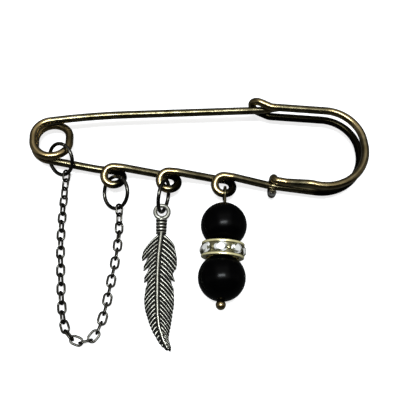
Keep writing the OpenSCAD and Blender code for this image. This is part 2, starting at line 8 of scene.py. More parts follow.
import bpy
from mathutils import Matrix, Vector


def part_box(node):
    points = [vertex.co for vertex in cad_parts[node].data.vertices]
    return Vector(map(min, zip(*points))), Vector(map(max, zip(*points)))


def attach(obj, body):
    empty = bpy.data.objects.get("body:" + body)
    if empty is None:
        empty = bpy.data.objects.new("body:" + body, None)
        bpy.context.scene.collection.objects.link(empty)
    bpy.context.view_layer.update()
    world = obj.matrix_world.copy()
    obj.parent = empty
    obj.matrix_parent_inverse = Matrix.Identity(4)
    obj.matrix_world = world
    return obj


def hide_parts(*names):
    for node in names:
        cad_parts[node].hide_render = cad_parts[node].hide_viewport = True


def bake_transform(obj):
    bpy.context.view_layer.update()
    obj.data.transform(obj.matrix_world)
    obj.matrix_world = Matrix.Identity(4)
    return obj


bl_info = {
    "name": "Safety Pin Brooch",
    "version": (1, 0, 0),
    "blender": (4, 5, 0),
    "location": "3D View > Sidebar > Brooch",
    "description": "Builds a kilt pin brooch with a chain, a feather charm and a bead drop",
    "category": "Add Mesh",
}

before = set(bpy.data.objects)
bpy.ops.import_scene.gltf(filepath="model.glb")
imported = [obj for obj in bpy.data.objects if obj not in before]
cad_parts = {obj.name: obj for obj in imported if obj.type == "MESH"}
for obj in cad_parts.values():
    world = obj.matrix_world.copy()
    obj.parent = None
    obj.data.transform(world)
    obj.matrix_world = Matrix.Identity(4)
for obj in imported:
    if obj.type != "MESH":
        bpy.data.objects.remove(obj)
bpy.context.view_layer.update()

import math

import bpy
import numpy as np
from bpy.props import FloatProperty, FloatVectorProperty, PointerProperty
from mathutils import Vector

MM = 0.001

# The upper bead's height in the frame, in metres, to a tenth of a millimetre.
BEAD_DIAMETER = round(float(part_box("upper_bead")[1][2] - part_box("upper_bead")[0][2]), 4)

# Sizes in millimetres and degrees. Places are measured about the coil's centre.
MIDDLE = np.array([34.0, -20.1802, 0.0])

# Layers of the wire: the rail lies between its back strands and the needle's layer.
WIRE_R, LAYER_STEP, WRAP_R = 0.9, 2.0, 1.9
RAIL_Z = WIRE_R + WRAP_R
FRONT_Z = RAIL_Z + LAYER_STEP

# Coil, rail and loops.
COIL_R, COIL_RUN, COIL_SIDE_R = 4.1, 1.2, 3.9
COIL_HALF = COIL_R + COIL_RUN / 2
LOOP_R, LOOP_PITCH, LOOP_LAND, RAMP_BEND_R = 2.0, 12.5, 1.4, 3.0
RAIL_SLOPE, CLASP_SLOPE, STRAND_SLOPE = 8.0, 11.0, 7.0
RAIL_BEND_X, RAIL_BEND_R = 10.5, 20.0

# Clasp, hook and wrapped end.
CLASP_REACH, LOW_CORNER_R, TOP_CORNER_R = 72.1, 10.3, 8.6
HOOK_X, HOOK_SLOPE, HOOK_RUN, KINK_R, HOOK_GAP = 49.2, 30.0, 2.2, 3.0, 0.1
STRAND_DROP, STRAND_SPREAD, SPREAD_RUN = 0.4, 5.5, 7.0
WRAP_TURN_R, WRAP_DIP, WRAP_ANGLE = 1.1, 6.4, 298.0

# Needle. The rows of its point are the distance from the tip and the radius there.
NEEDLE_REACH, NEEDLE_LIFT, NEEDLE_BEND_R = 56.0, 6.5, 160.0
POINT_LENGTH, TAPER_LENGTH = 6.0, 4.2
POINT_PROFILE = np.array([(0.0, 0.02), (0.12, 0.13), (0.4, 0.2), (POINT_LENGTH, 0.85),
                          (POINT_LENGTH + TAPER_LENGTH, WIRE_R)])

# Jump rings and chain.
RING_D, RING_WIRE_R, RING_CUT_ENDS = 8.0, 0.425, (39.0, 397.6)
RING_R = RING_D / 2 - RING_WIRE_R
LINK_LENGTH, LINK_WIDTH, LINK_WIRE_R, LINK_GAP, LINK_TWIST = 3.1, 2.1, 0.2, 0.16, 15.0

# Bead drop: beads, head pin, rondelle and stones. Breaks are radius and height of a facet's end.
BEAD_R, BEAD_HOLE_R, MOUTH_FLARE, MOUTH_DEPTH = 5.0, 0.7, 0.06, 0.12
PIN_R, PIN_EYE_R, PIN_EYE_SWEEP, PIN_NECK_R, BALL_R = 0.35, 1.4, 326.0, 1.0, 1.05
DROP_START, DROP_LEAN, STRING_GAP = 8.2, 7.5, 0.05
RONDELLE_R, RONDELLE_W, RIM_W, SEAT_R = 4.6, 3.2, 0.45, 3.5
RONDELLE_LEAN, RONDELLE_TURN, POST_R, POST_SINK = 8.0, 10.5, 0.28, 0.2
STONES, STONE_R, STONE_STRETCH, STONE_GAP = 8, 1.1, 2.9 / 2.2, 0.06
TABLE_R, CROWN_H, GIRDLE_H, PAVILION_H = 0.65, 0.35, 0.1, 0.7
CROWN_BREAK, PAVILION_BREAK = (0.84, 0.2), (0.55, -0.44)
GIRDLE_PLACE, CORNER_POINTS = RONDELLE_R - 0.05, 5

# Feather: vane and barbs, the eye's place under the second loop, eye, and ribbed neck.
FEATHER_LENGTH, FEATHER_WIDTH, VANE, BARB_HEIGHT, BARB_ANGLE = 30.4, 8.0, 0.7, 0.3, 40.0
FEATHER_HANG = (-1.88, -6.66)
EYE_OUTER_R, EYE_R, EYE_WIRE_R, EYE_Z = 1.9, 1.5, 0.48, 1.85
NECK_LENGTH, NECK_SINK, NECK_R, RIB_SWELL, NECK_RIBS = 3.4, 0.3, 1.02, 0.28, 4.5

# The chain's wire is drawn thicker than its solids, because the real links look heavier.
DRAWN_LINK_R = 1.25 * LINK_WIRE_R

# Values of wear and painted light: painted shade on parts that lie behind others and on the
# wrapped end, and bare metal at the cut.
BEHIND_SHADE, WRAP_SHADE, CUT = -0.8, -0.6, 3.0

# Stage, in metres and degrees. The table lies a hair under the brooch.
TABLE_HALF, TABLE_DROP = 3.0, 0.00002
SOFTBOX_PLACE, SOFTBOX_SIZE, SOFTBOX_COLOUR = (-0.05, -0.06, 0.5), (0.27, 0.08), (0.90, 0.96, 1.0)
CAMERA_PLACE, CAMERA_TURN = (-0.01149, -0.04911, 0.117), (25.073, -3.240, -4.417)

# Stops of the sky's light: place, from 0 at the near horizon to 1 at the far one, and colour.
SKY_STOPS = ((0.30, 0.01, 0.01, 0.01), (0.38, 1.0, 0.98, 0.93), (0.47, 1.0, 0.98, 0.95),
             (0.57, 0.5, 0.49, 0.475), (0.74, 0.5, 0.49, 0.475), (0.84, 0.2, 0.196, 0.19),
             (0.95, 0.06, 0.0588, 0.057))


# Placements are 4 by 4 matrices, or stacks of them where the angle or the offset is an array.

def turned(angle, axis=2):
    """Rotation about an axis (0 x, 1 y, 2 z) by an angle in degrees, one matrix per angle."""
    a = np.radians(np.asarray(angle, float))
    m = np.zeros(a.shape + (4, 4))
    m[..., axis, axis] = m[..., 3, 3] = 1
    i, j = (axis + 1) % 3, (axis + 2) % 3
    m[..., i, i] = m[..., j, j] = np.cos(a)
    m[..., j, i], m[..., i, j] = np.sin(a), -np.sin(a)
    return m


def rolled(angle):
    """Rotation about x, the wire's own direction."""
    return turned(angle, 0)


def moved(x, y=0.0, z=0.0):
    """Shift by x, y and z, one matrix per value of x."""
    x = np.asarray(x, float)
    m = np.zeros(x.shape + (4, 4))
    m[...] = np.eye(4)
    m[..., 0, 3], m[..., 1, 3], m[..., 2, 3] = x, y, z
    return m


def packed(*values):
    """Arrays and numbers, broadcast and laid side by side along a last axis."""
    return np.stack(np.broadcast_arrays(*values), -1)


def placed(points, place):
    """Points carried to a placement."""
    return points @ place[:3, :3].T + place[:3, 3]


# A path is a list of stretches with these columns: length of a straight stretch, or 0 for an
# arc; bend radius; angle, to the left if positive; tilt of the arc's plane; roll afterwards.

def run(length):
    """Straight stretch."""
    return [(length, 0.0, 0.0, 0.0, 0.0)]


def turn(bend_r, angle, tilt=0.0, roll=0.0):
    """Bend, to the left if its angle is positive."""
    return [(0.0, bend_r, angle, tilt, roll)]


def half_turn(bend_r, climb):
    """Half circle to the right in a tilted plane: it climbs to another layer and ends level."""
    tilt = -math.degrees(math.atan(climb / (2 * bend_r)))
    return turn(math.hypot(bend_r, climb / 2), -180.0, tilt, tilt)


def wide_turn(bend_r, width, climb):
    """Half turn with a straight stretch between two bends, it climbs to another layer."""
    tilt = math.degrees(math.atan(climb / width))
    straight = math.hypot(width, climb) - 2 * bend_r
    return turn(bend_r, 90.0, tilt) + run(straight) + turn(bend_r, 90.0, 0.0, tilt)


def dip(length, drop):
    """Straight ramp between two upright bends of radius r, it lowers the wire and ends level.
    Its slope is asin(2 r / |(length, 2 r - drop)|) - atan((2 r - drop) / length)."""
    rise = 2 * RAMP_BEND_R - drop
    slope = math.degrees(math.asin(2 * RAMP_BEND_R / math.hypot(length, rise))
                         - math.atan(rise / length))
    straight = math.sqrt(length ** 2 + rise ** 2 - 4 * RAMP_BEND_R ** 2)
    return (turn(RAMP_BEND_R, -slope, 90.0) + run(straight)
            + turn(RAMP_BEND_R, slope, 0.0, -90.0))


def part_of(row, share):
    """Placement a share of the way along one stretch: straight on, or round the arc's centre."""
    share = np.asarray(share, float)
    offset = math.copysign(row[1], row[2]) if row[1] else 0.0
    return (moved(share * row[0]) @ rolled(row[3]) @ moved(0.0, offset)
            @ turned(share * row[2]) @ moved(0.0, -offset))


def follow(path, start, spacing):
    """Ring placements along a path, turned back about the wire so that its sides run on without
    a twist, with the bend (1 / radius) and the number of the stretch at each ring."""
    rings, bends, numbers, place, twist = [], [], [], start, 0.0
    for number, row in enumerate(path):
        length = row[0] or row[1] * math.radians(abs(row[2]))
        count = max(1, math.ceil(length / spacing))
        shares = np.arange(count + (number == len(path) - 1)) / count
        rings.append(place @ part_of(row, shares) @ rolled(twist - row[3]))
        bends.append(np.full(len(shares), 0.0 if row[0] else 1 / row[1]))
        numbers.append(np.full(len(shares), number))
        place = place @ part_of(row, 1.0) @ rolled(row[4])
        twist -= row[3] + row[4]
    return np.concatenate(rings), np.concatenate(bends), np.concatenate(numbers)


def smoothed(values, width):
    """Running mean over a number of neighbours, with the ends repeated."""
    kernel = np.ones(2 * width + 1) / (2 * width + 1)
    return np.convolve(np.pad(values, width, mode="edge"), kernel, mode="valid")


# A shell is (points, quads, triangles, wear and painted light): one closed surface and one value
# per point.

def grid_shell(points, wear_and_painted_light, closed=False):
    """Surface through a grid of points. Rows run along it, and columns run around it and join.
    The rows of a closed shell join too, and open ends close on the middle of their ring. The value
    of wear and painted light is one value, one per row or one per point."""
    rows, columns = points.shape[:2]
    i, k = np.arange(rows if closed else rows - 1)[:, None], np.arange(columns)
    here, ahead, beside = i * columns, (i + 1) % rows * columns, (k + 1) % columns
    quads = packed(here + k, ahead + k, ahead + beside, here + beside).reshape(-1, 4)
    flat = points.reshape(-1, 3)
    wear_and_painted_light = np.broadcast_to(np.transpose(wear_and_painted_light), (columns, rows)).T.reshape(-1)
    triangles = np.zeros((0, 3), int)
    if not closed:
        first, end = rows * columns, (rows - 1) * columns
        triangles = np.concatenate([packed(k, beside, first),
                                    packed(end + beside, end + k, first + 1)])
        flat = np.concatenate([flat, points[:1].mean(1), points[-1:].mean(1)])
        wear_and_painted_light = np.concatenate([wear_and_painted_light, wear_and_painted_light[:1], wear_and_painted_light[-1:]])
    return flat, quads, triangles, wear_and_painted_light


def swept(rings, radius, sides, wear_and_painted_light, closed=False):
    """Circle of the given radius, one per ring, carried through the ring placements."""
    angle = -2 * np.pi * np.arange(sides) / sides
    radius = np.broadcast_to(radius, len(rings))[:, None]
    circle = packed(0.0, radius * np.cos(angle), radius * np.sin(angle), 1.0)
    return grid_shell(np.einsum("nij,nkj->nki", rings, circle)[..., :3], wear_and_painted_light, closed)


def revolved(profile, sides, place, wear_and_painted_light=0.0, closed=True):
    """Profile of (radius, height) points turned about z, from the outside run upwards. A closed
    profile joins its ends, and an open one ends on the axis."""
    radius, height = np.asarray(profile, float).T[..., None]
    angle = 2 * np.pi * np.arange(sides) / sides
    points = placed(packed(radius * np.cos(angle), radius * np.sin(angle), height), place)
    flat, quads, triangles, wear_and_painted_light = grid_shell(points, wear_and_painted_light, closed)
    return flat, quads[:, ::-1], triangles[:, ::-1], wear_and_painted_light


def arc(radius, latitude, count):
    """Profile of a ball, from one latitude below its middle to the same one above: the
    radius times the cosine and the sine of the latitude."""
    angle = np.radians(np.linspace(-latitude, latitude, count))
    return radius * packed(np.cos(angle), np.sin(angle))


def rounded(corners, radii):
    """Closed profile with each corner replaced by a quadratic curve between two cut points."""
    p, radii = np.array(corners), np.array(radii)[:, None]
    a, b = (p + way / np.linalg.norm(way, axis=1, keepdims=True) * radii
            for way in (np.roll(p, 1, 0) - p, np.roll(p, -1, 0) - p))
    t = np.linspace(0, 1, CORNER_POINTS)[None, :, None]
    curve = a[:, None] * (1 - t) ** 2 + 2 * p[:, None] * t * (1 - t) + b[:, None] * t ** 2
    return curve.reshape(-1, 2)


def new_mesh(name, points, faces, wear_and_painted_light, domain, *materials):
    """Mesh about the brooch's middle, in metres, with a value of wear and painted light per point
    or per face.
    """
    mesh = bpy.data.meshes.new(name)
    mesh.from_pydata(((points - MIDDLE) * MM).tolist(), [], faces)
    mesh.attributes.new("wear_and_painted_light", "FLOAT", domain).data.foreach_set(
        "value", wear_and_painted_light.astype(np.float32))
    for material in materials:
        mesh.materials.append(material)
    return mesh


def new_object(name, data):
    """Object in the scene, at the origin."""
    made = bpy.data.objects.new(name, data)
    bpy.context.scene.collection.objects.link(made)
    return made


def add_piece(name, mesh, body):
    """Stands a mesh in for the solid of the same name, on its body if it rides on one alone."""
    mesh.update()
    piece = new_object(name, mesh)
    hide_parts(name)
    if body:
        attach(piece, body)
    return piece


def make_piece(name, shells, material, sharp=50.0, body="pin_frame"):
    """Joins shells into one smooth piece, creased where it bends by more than an angle."""
    starts = np.cumsum([0] + [len(shell[0]) for shell in shells])
    faces = []
    for shell, start in zip(shells, starts):
        faces += (shell[1] + start).tolist() + (shell[2] + start).tolist()
    mesh = new_mesh(name, np.concatenate([shell[0] for shell in shells]), faces,
                    np.concatenate([shell[3] for shell in shells]), "POINT", material)
    mesh.shade_smooth()
    mesh.set_sharp_from_angle(angle=math.radians(sharp))
    return add_piece(name, mesh, body)


# Paths and places that several pieces share.

def along(angle):
    """Unit vector at an angle from x."""
    return np.array([math.cos(math.radians(angle)), math.sin(math.radians(angle))])


def across(angle):
    """Unit vector a quarter turn further on."""
    return along(angle + 90)


def tan(angle):
    """Tangent of an angle in degrees."""
    return math.tan(math.radians(angle))


def on_line(point, slope, x):
    """Point at x on the line through a point that falls by a slope."""
    return np.array([x, point[1] - (x - point[0]) * tan(slope)])


# Middles of the three loops, at one pitch along the rail.
LOOP_1, LOOP_2, LOOP_3 = (np.array([13.9, -10.1]) + number * LOOP_PITCH * along(-RAIL_SLOPE)
                          for number in range(3))
NEEDLE_Y = (COIL_RUN / 2 + COIL_R * along(NEEDLE_LIFT)[0]
            + NEEDLE_BEND_R * (1 - along(NEEDLE_LIFT)[0]))


def frame_path():
    """The wire from the coil's foot round the coil, along the rail with its three loops, round
    the clasp's back strand, over the hook, back along the front strand and round the rail."""
    top = LOOP_1 + LOOP_R * across(-RAIL_SLOPE)
    bend = on_line(top, RAIL_SLOPE, RAIL_BEND_X)
    reach = bend + [0.0, COIL_RUN / 2]
    exit_slope = math.degrees(math.atan2(reach[1], reach[0])
                              + math.asin(COIL_R / np.linalg.norm(reach)))
    bend_angle = -RAIL_SLOPE - exit_slope
    trim = RAIL_BEND_R * tan(bend_angle / 2)
    hook = np.array([HOOK_X, NEEDLE_Y + 2 * WIRE_R + HOOK_GAP
                     - LAYER_STEP * along(HOOK_SLOPE)[1]])
    kink_end = (hook + HOOK_RUN * along(-HOOK_SLOPE)
                + KINK_R * (across(-HOOK_SLOPE) - across(-STRAND_SLOPE)))
    rail_exit = LOOP_3 + LOOP_R * across(-CLASP_SLOPE)
    low = on_line(rail_exit, CLASP_SLOPE, CLASP_REACH)
    high = on_line(kink_end, STRAND_SLOPE, CLASP_REACH)
    low_trim = LOW_CORNER_R * tan((90 + CLASP_SLOPE) / 2)
    high_trim = TOP_CORNER_R * tan((90 - STRAND_SLOPE) / 2)
    dip_length = LOOP_PITCH - 2 * LOOP_LAND
    side = high[1] - low[1] - low_trim - high_trim
    strand = run(np.linalg.norm(high - kink_end) - high_trim)
    spread = along(STRAND_SPREAD)
    offset = (SPREAD_RUN * spread[1] + 2 * LOW_CORNER_R * (1 - spread[0])
              - STRAND_DROP * along(CLASP_SLOPE)[0])
    wrap_reach = math.hypot(WRAP_R, WRAP_TURN_R)
    lean = math.degrees(math.asin(offset / wrap_reach))
    height = wrap_reach * along(lean)[0]
    wrap_start = lean + math.degrees(math.atan(WRAP_TURN_R / WRAP_R))
    kink = HOOK_SLOPE - STRAND_SLOPE
    loop = half_turn(LOOP_R, LAYER_STEP / 2) * 2
    descent = run(LOOP_LAND) + dip(dip_length, LAYER_STEP)
    return (wide_turn(COIL_SIDE_R, 2 * COIL_HALF, -LAYER_STEP) + turn(COIL_R, 90) + run(COIL_RUN)
            + turn(COIL_R, 90 + exit_slope)
            + run(math.sqrt(reach @ reach - COIL_R ** 2) - trim) + turn(RAIL_BEND_R, bend_angle)
            + run(np.linalg.norm(top - bend) - trim)
            + (loop + descent + run(LOOP_LAND)) * 2
            + loop + turn(LOOP_R, RAIL_SLOPE - CLASP_SLOPE) + descent
            + run(np.linalg.norm(low - rail_exit) - low_trim - LOOP_LAND - dip_length)
            + turn(LOW_CORNER_R, 90 + CLASP_SLOPE) + run(side)
            + turn(TOP_CORNER_R, 90 - STRAND_SLOPE)
            + strand + turn(KINK_R, -kink) + run(HOOK_RUN)
            + turn(LAYER_STEP, 180.0, 90.0, 90.0) + run(HOOK_RUN) + turn(KINK_R, kink) + strand
            + turn(TOP_CORNER_R, STRAND_SLOPE - 90) + run(side + STRAND_DROP)
            + turn(LOW_CORNER_R, -STRAND_SPREAD - CLASP_SLOPE - 90)
            + run(SPREAD_RUN - WRAP_DIP) + dip(WRAP_DIP, 2 * LAYER_STEP - height)
            + turn(LOW_CORNER_R, STRAND_SPREAD)
            + turn(WRAP_TURN_R, -90.0, wrap_start) + turn(WRAP_R, wrap_start - WRAP_ANGLE, 90.0))


# Numbers of the path's stretches that lie behind others, darkened almost to black as painted
# shade.
SHADED_STRETCHES = [9, 16, 23, *range(31, 37)]


def ring_place(hang, pitch, roll):
    """A jump ring lies in the plane tipped by pitch and roll, through its hanging point, with
    its lowest point on the table."""
    tip = turned(roll, 1) @ turned(pitch, 0)
    reach = RING_R * tip[:3, 1]
    level = along(roll)[0] * along(pitch)[0]
    rest = RING_WIRE_R + RING_R * math.sqrt(1 - level ** 2)
    return moved(hang[0] - reach[0], hang[1] - reach[1], rest) @ tip


RINGS = {
    "coil_jump_ring": ring_place((0.77, 3.12 - COIL_HALF), pitch=28.5, roll=-43.8),
    "loop_jump_ring": ring_place(LOOP_1 + [-0.29, -0.13], pitch=16.0, roll=-42.2),
    "feather_jump_ring": ring_place(LOOP_2 + [-0.32, -0.31], pitch=17.3, roll=77.5),
}

# The chain's route, given point by point, at one height over the table.
SWAG = np.array([
    (2.6, -12.5), (2.3, -17), (2.1, -22), (2.1, -27), (2.3, -32), (2.5, -36), (2.7, -39),
    (3, -41.5), (3.6, -43.6), (4.7, -45.2), (6.2, -46.1), (7.8, -46.2), (9.2, -45.4),
    (10.2, -43.9), (11, -41.8), (11.8, -38.8), (12.8, -34), (13.7, -29.8), (14.4, -25.6),
    (14.8, -21.5)])
CHAIN_Z = 1.1

# Places along the drop, from the head pin's eye down.
PIN_EYE = np.array([LOOP_3[0], LOOP_3[1] - LOOP_R, RAIL_Z + LAYER_STEP / 2])
SEAT_EDGE = turned(RONDELLE_LEAN)[:2, :2] @ [RONDELLE_W / 2, -SEAT_R] * [1, -1]
RONDELLE_PLACE = (DROP_START + SEAT_EDGE[0] + math.sqrt(BEAD_R ** 2 - SEAT_EDGE[1] ** 2)
                  + STRING_GAP)
LOWER_BEAD_PLACE = 2 * RONDELLE_PLACE - DROP_START


def down_drop(distance):
    """Placement on the drop's line at bead height, with x running down the drop."""
    return moved(PIN_EYE[0], PIN_EYE[1], BEAD_R) @ turned(-90 - DROP_LEAN) @ moved(distance)


# Materials. Each reads object coordinates and the value of wear and painted light of its piece.

def shaded(colour, share):
    """Colour made darker, to a share of its brightness."""
    return [share * channel for channel in colour]


class Graph:
    """Node tree of a material or of the world, with short calls to add and link nodes."""

    def __init__(self, owner, output="OutputMaterial", shader="BsdfPrincipled"):
        owner.use_nodes = True
        self.owner, self.nodes, self.links = owner, owner.node_tree.nodes, owner.node_tree.links
        self.nodes.clear()
        self.shader = self.add(shader)
        self.fill(self.add(output), Surface=self.shader.outputs[0])
        self.coordinates = self.add("TexCoord").outputs

    def add(self, kind, **settings):
        node = self.nodes.new("ShaderNode" + kind)
        for key, value in settings.items():
            setattr(node, key, value)
        return node

    def fill(self, node, **inputs):
        """Links or sets a node's inputs, each by its name with _ for a space."""
        for key, value in inputs.items():
            self.put(node.inputs[key.replace("_", " ")], value)
        return node

    def put(self, socket, value):
        if isinstance(value, bpy.types.NodeSocket):
            self.links.new(value, socket)
        else:
            socket.default_value = (*value, 1.0) if socket.type == "RGBA" else value

    def noise(self, scale, detail=4.0, stretch=None):
        """Noise in object space, scale in cycles per metre."""
        place = self.coordinates["Object"]
        if stretch:
            place = self.fill(self.add("Mapping"), Vector=place, Scale=stretch).outputs[0]
        node = self.fill(self.add("TexNoise"), Vector=place, Scale=scale, Detail=detail)
        return node.outputs["Fac"]

    def between(self, value, low, high, to_low=0.0, to_high=1.0):
        """Smooth step from one value to another as the input runs from low to high."""
        node = self.add("MapRange", interpolation_type="SMOOTHSTEP")
        self.fill(node, Value=value, From_Min=low, From_Max=high, To_Min=to_low, To_Max=to_high)
        return node.outputs["Result"]

    def math(self, operation, a, b):
        node = self.add("Math", operation=operation)
        self.put(node.inputs[0], a)
        self.put(node.inputs[1], b)
        return node.outputs[0]

    def plus(self, a, b, share):
        """The sum of a and a share of b."""
        return self.math("ADD", a, self.math("MULTIPLY", b, share))

    def mix(self, share, a, b):
        """Colour between a and b, each a colour or a socket."""
        node = self.fill(self.add("Mix", data_type="RGBA"), Factor=share)
        self.put(node.inputs[6], a)
        self.put(node.inputs[7], b)
        return node.outputs[2]

    def wear_and_painted_light(self):
        return self.add("Attribute", attribute_name="wear_and_painted_light").outputs["Fac"]

    def relief(self, height, strength, depth):
        bump = self.fill(self.add("Bump"), Strength=strength, Distance=depth, Height=height)
        self.fill(self.shader, Normal=bump.outputs[0])

    def finish(self, **inputs):
        """Sets the shader's inputs and returns the finished material."""
        self.fill(self.shader, **inputs)
        return self.owner


def new_graph(name):
    """Graph of a new material."""
    return Graph(bpy.data.materials.new(name))


def antique_metal(name, dark, bright, worn, warmth=0.0, rough=(0.17, 0.28), grain=1.0,
                  metallic=1.0):
    """Plated metal darkened unevenly: a blotchy patina in two sizes, thinner and warmer where the
    piece is worn, painted shade down to near black where the value is below 0 and bare steel where
    it is above 2."""
    g = new_graph(name)
    specks, wear_and_painted_light = g.noise(2600.0, 3.0), g.wear_and_painted_light()
    cover = g.plus(g.math("MULTIPLY", specks, 0.15), g.noise(420.0, 5.0), 0.85)
    share = g.between(g.plus(cover, wear_and_painted_light, worn), 0.28, 1.2)
    metal = g.mix(share, dark, bright)
    metal = g.mix(g.between(wear_and_painted_light, 0.05, 0.35, 0.0, warmth), metal, (0.28, 0.20, 0.085))
    # Painted shade: values below 0 darken the metal towards black.
    metal = g.mix(g.between(wear_and_painted_light, -0.6, 0.0), shaded(dark, 0.12), metal)
    metal = g.mix(g.between(wear_and_painted_light, 1.6, 2.4), metal, (0.72, 0.71, 0.68))
    scuffs = g.noise(1500.0, 6.0, stretch=(0.35, 1.0, 1.0))
    g.relief(g.plus(scuffs, specks, 0.4), 0.05 * grain, 0.00004)
    return g.finish(Base_Color=metal, Metallic=metallic,
                    Roughness=g.between(scuffs, 0.3, 0.7, *rough))


def cast_metal(name, recess, ridge):
    """Antiqued casting: black in the grooves and rubbed bright on the ridges, from the wear
    value, with a little mottling and a sandy grain."""
    g = new_graph(name)
    mottle = g.noise(700.0, 5.0)
    height = g.plus(g.wear_and_painted_light(), g.math("SUBTRACT", mottle, 0.5), 0.5)
    share = g.between(height, 0.58, 1.1)
    grain = g.noise(4200.0, 3.0)
    g.relief(g.math("ADD", grain, mottle), 0.2, 0.00005)
    return g.finish(Base_Color=g.mix(share, recess, ridge), Metallic=0.9,
                    Roughness=g.between(share, 0.0, 1.0, 0.6, 0.3))


def satin_bead(name, colour):
    """Black bead with a satin skin: faint cloudy changes of gloss and a very fine pitting."""
    g = new_graph(name)
    clouds = g.noise(260.0, 4.0)
    g.relief(g.noise(5200.0, 3.0), 0.04, 0.00002)
    return g.finish(Base_Color=g.mix(clouds, colour, shaded(colour, 0.45)), IOR=1.5,
                    Specular_IOR_Level=0.04, Roughness=g.between(clouds, 0.3, 0.7, 0.17, 0.24))


def cut_stone(name, colour):
    """Clear stone: each facet shows a painted reflection, a white or a grey-green patch chosen by
    its value and a coarse noise, under a glossy skin. The patch also glows faintly, as painted
    light."""
    g = new_graph(name)
    # Painted reflection and glow: the facet's value and noise pick a light or dark patch, which is
    # also its faint emission.
    depth = g.math("ADD", g.wear_and_painted_light(), g.math("SUBTRACT", g.noise(1500.0, 2.0), 0.5))
    inner = g.mix(g.between(depth, 0.2, 0.75), (0.09, 0.09, 0.055), colour)
    return g.finish(Base_Color=inner, Roughness=g.between(depth, 0.2, 0.8, 0.12, 0.3),
                    Metallic=0.35, IOR=1.6, Emission_Color=inner, Emission_Strength=0.15)


def stone_foil(name):
    """Mirror backing of a stone, with fine unevenness in its silvering."""
    g = new_graph(name)
    return g.finish(Base_Color=g.mix(g.noise(1800.0, 3.0), (0.95, 0.95, 0.97), (0.7, 0.7, 0.74)),
                    Metallic=1.0, Roughness=g.between(g.noise(2500.0), 0.3, 0.7, 0.03, 0.12))


def pale_table(name, colour, glow):
    """Pale matt board with a very faint paper tooth. It glows a little so that it stays white,
    and it is darker in what the brooch mirrors, as in a dark studio."""
    g = new_graph(name)
    tooth = g.noise(900.0, 3.0)
    g.relief(tooth, 0.03, 0.0002)
    seen = g.add("LightPath").outputs["Is Camera Ray"]
    board = g.mix(tooth, shaded(colour, 0.5), shaded(colour, 0.48))
    return g.finish(Base_Color=g.mix(seen, (0.05, 0.05, 0.05), board), Roughness=0.9,
                    Emission_Color=colour, Emission_Strength=g.math("MULTIPLY", seen, glow))


# Settings.

def colour_property(label, words, default):
    return FloatVectorProperty(name=label, description=words, default=default, size=3,
                               min=0.0, max=1.0, subtype="COLOR")


def length_property(label, words, default):
    return FloatProperty(name=label, description=words, default=default, min=0.0, precision=5,
                         subtype="DISTANCE", unit="LENGTH")


def number_property(label, words, default, high, low=0.0):
    return FloatProperty(name=label, description=words, default=default, min=low, max=high)


class WireSettings(bpy.types.PropertyGroup):
    """Looks of the pin's wire, the small rings and the chain."""
    dark: colour_property("Patina", "Darkened bronze of the spring wire", (0.060, 0.0515, 0.026))
    bright: colour_property("Bronze", "Bronze that shows where the patina is thin",
                            (0.395, 0.352, 0.222))
    small_dark: colour_property("Small wire patina", "Darkened metal of the rings and chain",
                                (0.025, 0.024, 0.021))
    small_bright: colour_property("Small wire metal", "Metal that shows on rings and chain",
                                  (0.11, 0.106, 0.089))
    ring_spacing: length_property("Ring spacing", "Distance between the wire's cross-sections",
                                  0.00022)


class FeatherSettings(bpy.types.PropertyGroup):
    """Looks of the feather charm."""
    recess: colour_property("Recess", "Blackened grooves", (0.008, 0.008, 0.007))
    ridge: colour_property("Ridge", "Rubbed ridges", (0.44, 0.435, 0.375))


class DropSettings(bpy.types.PropertyGroup):
    """Looks of the bead drop."""
    bead: colour_property("Bead", "Satin black of the beads", (0.0005, 0.0005, 0.0006))
    bead_diameter: length_property("Bead diameter", "Diameter of the two beads", BEAD_DIAMETER)
    gold: colour_property("Gold", "Pale gold of the rondelle", (0.92, 0.84, 0.46))
    # The stone colour is the light patch of the facets' painted reflections.
    stone: colour_property("Stone", "Tint of the clear stones", (0.66, 0.66, 0.64))


class StageSettings(bpy.types.PropertyGroup):
    """Table, light and camera."""
    table: colour_property("Table", "Pale table", (0.93, 0.93, 0.93))
    table_glow: number_property("Table glow", "Light that the table gives itself", 0.78, 2.0)
    sky: number_property("Sky", "Strength of the light behind the brooch", 2.3, 5.0)
    key: number_property("Key light", "Power of the softbox over the brooch", 3.6, 20.0)
    lens: number_property("Lens", "Focal length of the camera in millimetres", 50.4, 200.0, 10.0)


class BroochSettings(bpy.types.PropertyGroup):
    """All settings of the brooch."""
    wire: PointerProperty(type=WireSettings)
    feather: PointerProperty(type=FeatherSettings)
    drop: PointerProperty(type=DropSettings)
    stage: PointerProperty(type=StageSettings)


def bronze(context):
    """The wire's material, made once."""
    settings = context.scene.brooch.wire
    return bpy.data.materials.get("antique_bronze") or antique_metal(
        "antique_bronze", settings.dark, settings.bright, worn=0.2, warmth=0.6,
        rough=(0.2, 0.25), grain=0.1)


def small_bronze(context):
    """The material of the rings and the chain, made once."""
    settings = context.scene.brooch.wire
    return bpy.data.materials.get("dark_bronze") or antique_metal(
        "dark_bronze", settings.small_dark, settings.small_bright, worn=0.25)


# Pieces.

def bend_wear(bends):
    """Wear along a wire: 0 where it is straight and 1 where it bends to a radius of 2 or less,
    eased over the neighbouring rings."""
    return np.clip(smoothed(bends, 6) / 0.5, 0, 1)


def distances(points):
    """Distance along a line of points, from its first."""
    return np.concatenate([[0], np.cumsum(np.linalg.norm(np.diff(points, axis=0), axis=1))])


def end_rounding(rings, radius, edge, last_only=False):
    """Radius along a wire: full, and drawn in over the last stretch as a quarter circle."""
    reach = distances(rings[:, :3, 3])
    rest = reach[-1] - reach if last_only else np.minimum(reach, reach[-1] - reach)
    inset = np.clip(1 - rest / edge, 0, 1)
    return radius - edge * (1 - np.sqrt(1 - inset ** 2))


